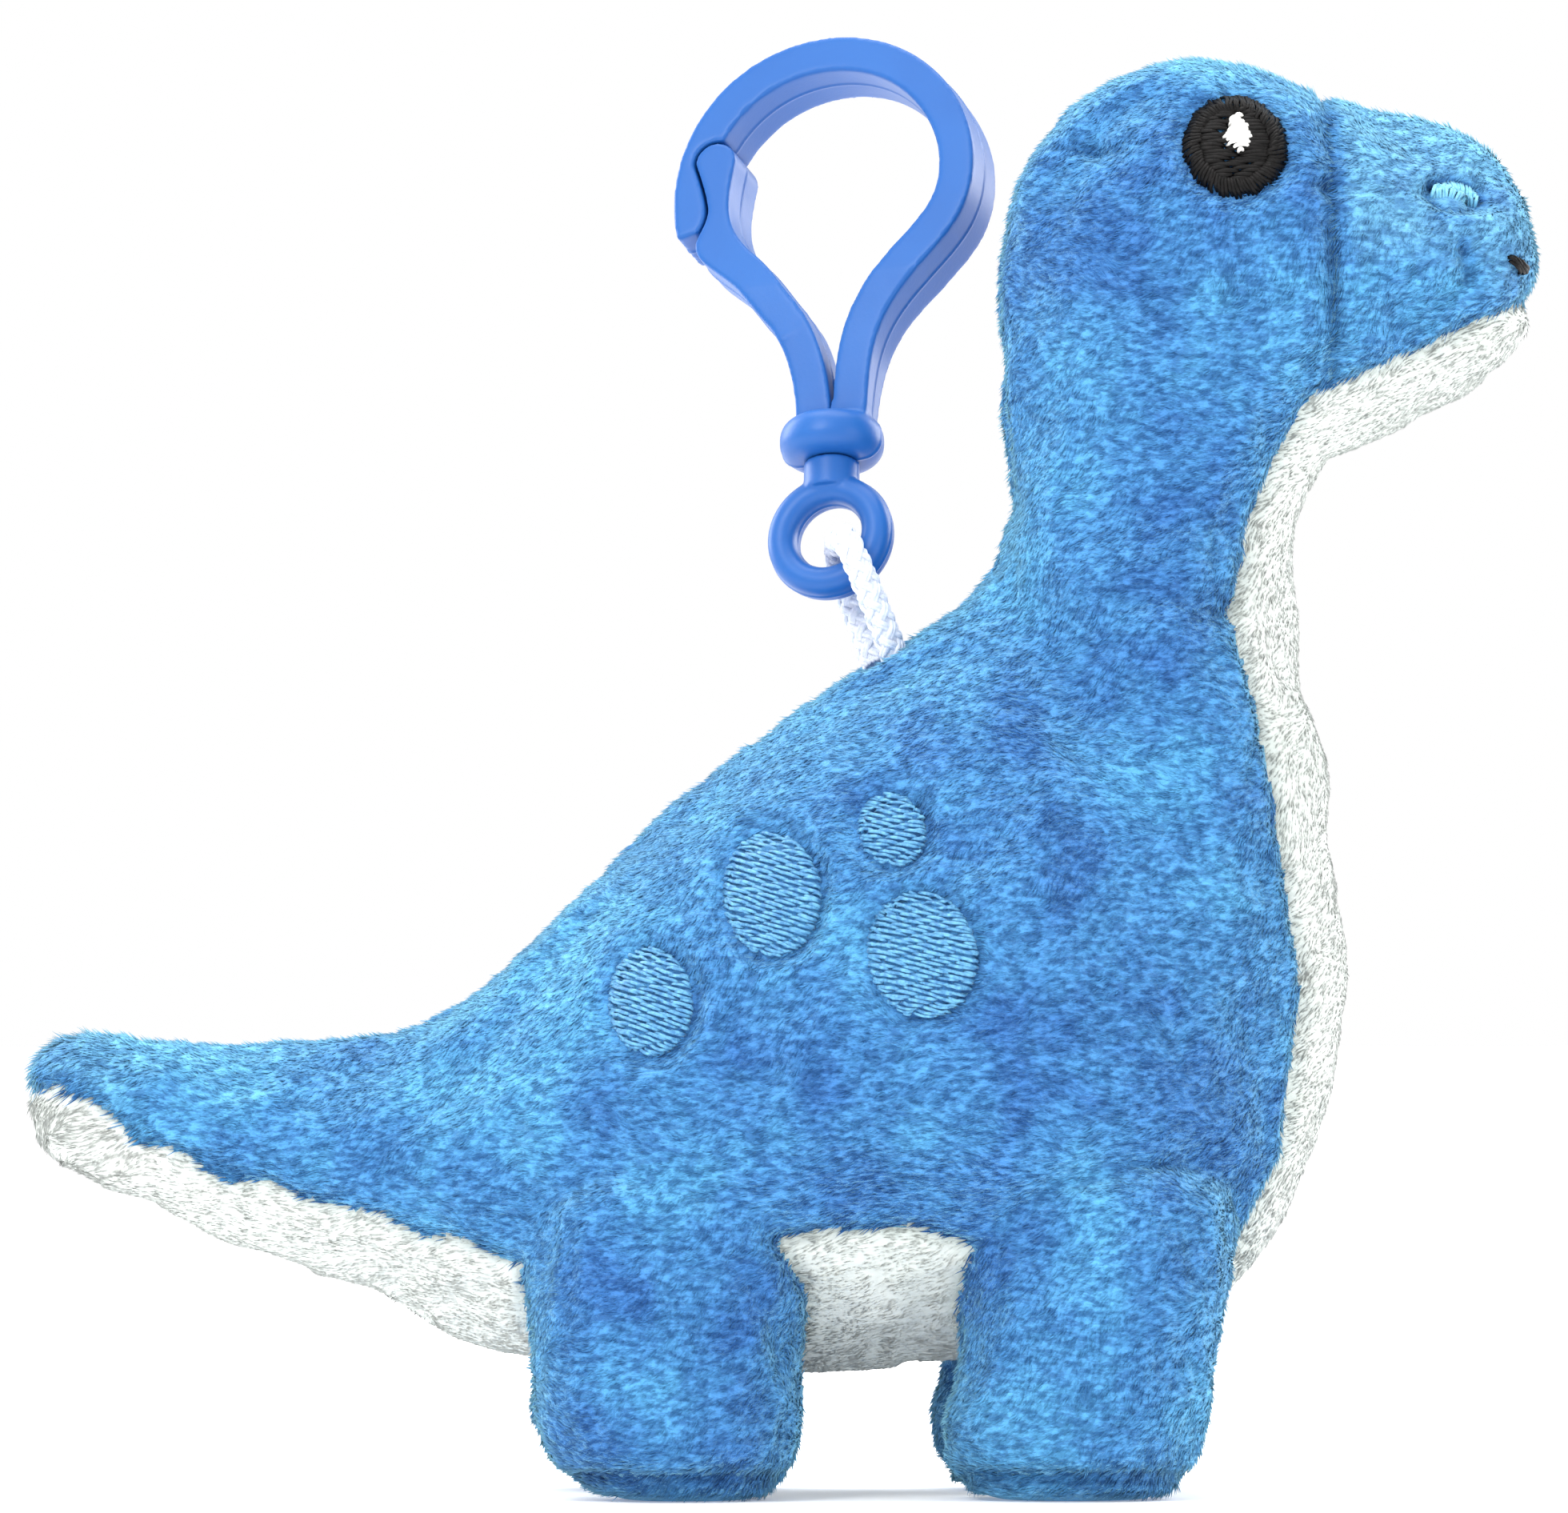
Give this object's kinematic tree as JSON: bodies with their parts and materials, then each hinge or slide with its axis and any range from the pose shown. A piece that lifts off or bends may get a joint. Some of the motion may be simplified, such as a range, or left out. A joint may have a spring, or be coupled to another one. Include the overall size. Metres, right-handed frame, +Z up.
{
  "type": "plush dinosaur bag clip",
  "caption": "Small stuffed long-necked dinosaur with short-pile panels, a pale belly gusset, embroidered eyes and spots, and a braided back loop that carries a snap clip.",
  "frame": {"origin": "on the floor between the feet, in the middle seam's plane, under the middle of the toy's length", "axes": "+X from the tail to the head, +Y to the animal's left, +Z up"},
  "size_m": [0.1342, 0.0512, 0.1308],
  "materials": {
    "minky_blue": "short pile",
    "plush_white": "short pile",
    "polyester_fill": "loose fibre",
    "thread_black": "satin stitch",
    "thread_white": "satin stitch",
    "thread_blue": "satin stitch",
    "cord_white": "braided",
    "clip_plastic": "satin moulded"
  },
  "bodies": {
    "plush": {"belly_gusset": "plush_white", "loop_anchor": "cord_white", "left_side_panel": "minky_blue", "left_muzzle_panel": "minky_blue", "left_rear_inner_leg_panel": "minky_blue", "left_front_inner_leg_panel": "minky_blue", "left_rear_leg_stuffing": "polyester_fill", "left_front_leg_stuffing": "polyester_fill", "left_eye": "thread_black", "left_eye_glint": "thread_white", "left_nostril": "thread_blue", "left_mouth_stitch": "thread_black", "left_tail_spot": "thread_blue", "left_rear_spot": "thread_blue", "left_top_spot": "thread_blue", "left_front_spot": "thread_blue", "right_side_panel": "minky_blue", "right_muzzle_panel": "minky_blue", "right_rear_inner_leg_panel": "minky_blue", "right_front_inner_leg_panel": "minky_blue", "right_rear_leg_stuffing": "polyester_fill", "right_front_leg_stuffing": "polyester_fill", "right_eye": "thread_black", "right_eye_glint": "thread_white", "right_nostril": "thread_blue", "right_mouth_stitch": "thread_black", "right_tail_spot": "thread_blue", "right_rear_spot": "thread_blue", "right_top_spot": "thread_blue", "right_front_spot": "thread_blue", "tail_stuffing": "polyester_fill", "body_stuffing": "polyester_fill", "neck_stuffing": "polyester_fill", "head_stuffing": "polyester_fill"},
    "loop": {"hang_loop": "cord_white"},
    "ring": {"swivel_ring": "clip_plastic"},
    "hook": {"clip_hook": "clip_plastic"},
    "gate": {"clip_gate": "clip_plastic"}
  },
  "joints": [
    {"name": "loop_sway", "type": "hinge", "parent": "plush", "child": "loop", "pos_m": [0.00935, 0, 0.07514], "axis": [0.8398, 0, 0.543], "range_deg": [-14, 18]},
    {"name": "ring_tilt", "type": "hinge", "parent": "loop", "child": "ring", "pos_m": [0.00439, 0.0023, 0.08544], "axis": [0.365, 0.8535, -0.372], "range_deg": [-105, 0]},
    {"name": "clip_swivel", "type": "hinge", "parent": "ring", "child": "hook", "pos_m": [0.00439, 0.0023, 0.08544], "axis": [0.0241, 0.3907, 0.9202], "continuous": true},
    {"name": "gate_flex", "type": "hinge", "parent": "hook", "child": "gate", "pos_m": [0.00127, 0.01197, 0.10457], "axis": [0.365, 0.8535, -0.372], "range_deg": [0, 15], "stiffness_Nm_per_rad": 0.02}
  ]
}
